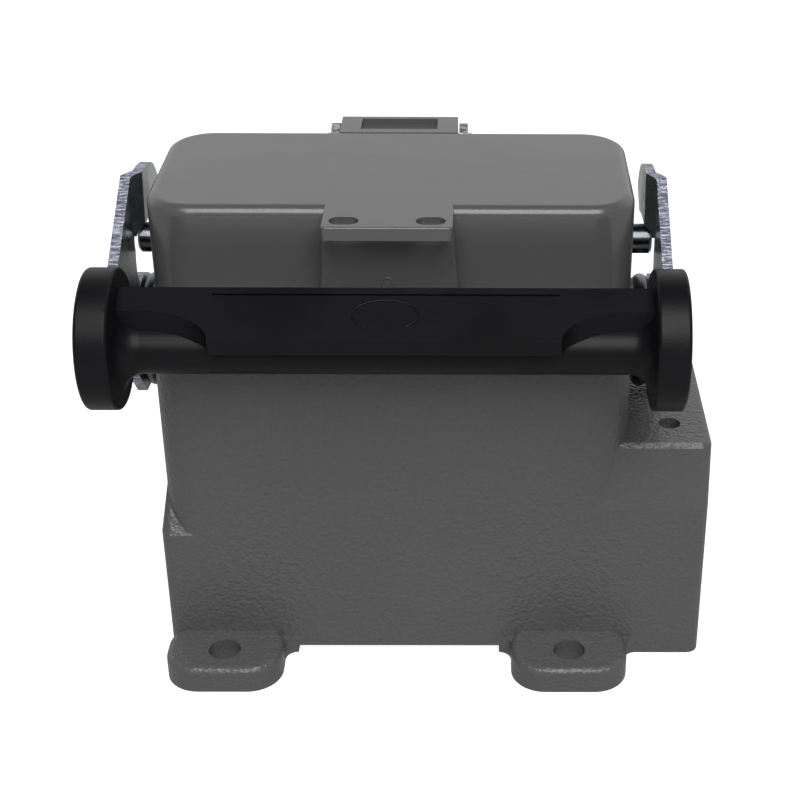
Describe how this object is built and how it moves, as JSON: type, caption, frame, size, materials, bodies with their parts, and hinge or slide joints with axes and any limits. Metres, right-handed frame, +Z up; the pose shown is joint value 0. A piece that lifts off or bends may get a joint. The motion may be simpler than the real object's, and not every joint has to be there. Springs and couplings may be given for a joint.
{
  "type": "heavy duty rectangular connector housing",
  "caption": "Surface-mounting cast housing for a rectangular multipole connector, with a side cable entry, a hinged plastic cover and a locking lever hooked over the cover's pegs.",
  "frame": {"origin": "centre of the four mounting holes, on the base plane", "axes": "+X along the length towards the cable entry, +Y towards the rear hinge, +Z up; the lever's grip is at -Y"},
  "size_m": [0.1192, 0.0906, 0.0991],
  "materials": {
    "cast_shell": "fine textured grey powder coat on die-cast aluminium",
    "cover_plastic": "satin grey moulded plastic",
    "grip_plastic": "black moulded plastic",
    "plated_steel": "zinc-plated sheet steel",
    "fasteners": "zinc-plated steel",
    "seal": "black rubber",
    "insert_plastic": "light grey moulded plastic",
    "contact_metal": "turned copper alloy"
  },
  "bodies": {
    "base": {"housing": "cast_shell", "housing_gasket": "seal", "insert_body": "insert_plastic", "contacts": "contact_metal", "terminal_screws": "fasteners", "earth_plate_left": "plated_steel", "earth_plate_right": "plated_steel", "earth_screws": "fasteners", "insert_screws": "fasteners", "cover": "cover_plastic", "cover_peg_left": "plated_steel", "cover_peg_right": "plated_steel", "hinge_bracket": "plated_steel", "bracket_screws": "fasteners", "hinge_pin": "fasteners", "pivot_stud_left": "plated_steel", "pivot_stud_right": "plated_steel", "pivot_cup_left": "plated_steel", "pivot_cup_right": "plated_steel"},
    "lever": {"lever_plate_left": "plated_steel", "lever_plate_right": "plated_steel", "lever_grip": "grip_plastic"}
  },
  "joints": [
    {"name": "lever_swing", "type": "hinge", "parent": "base", "child": "lever", "pos_m": [0, 0, 0.0634], "axis": [1, 0, 0], "range_deg": [0, 42]}
  ]
}
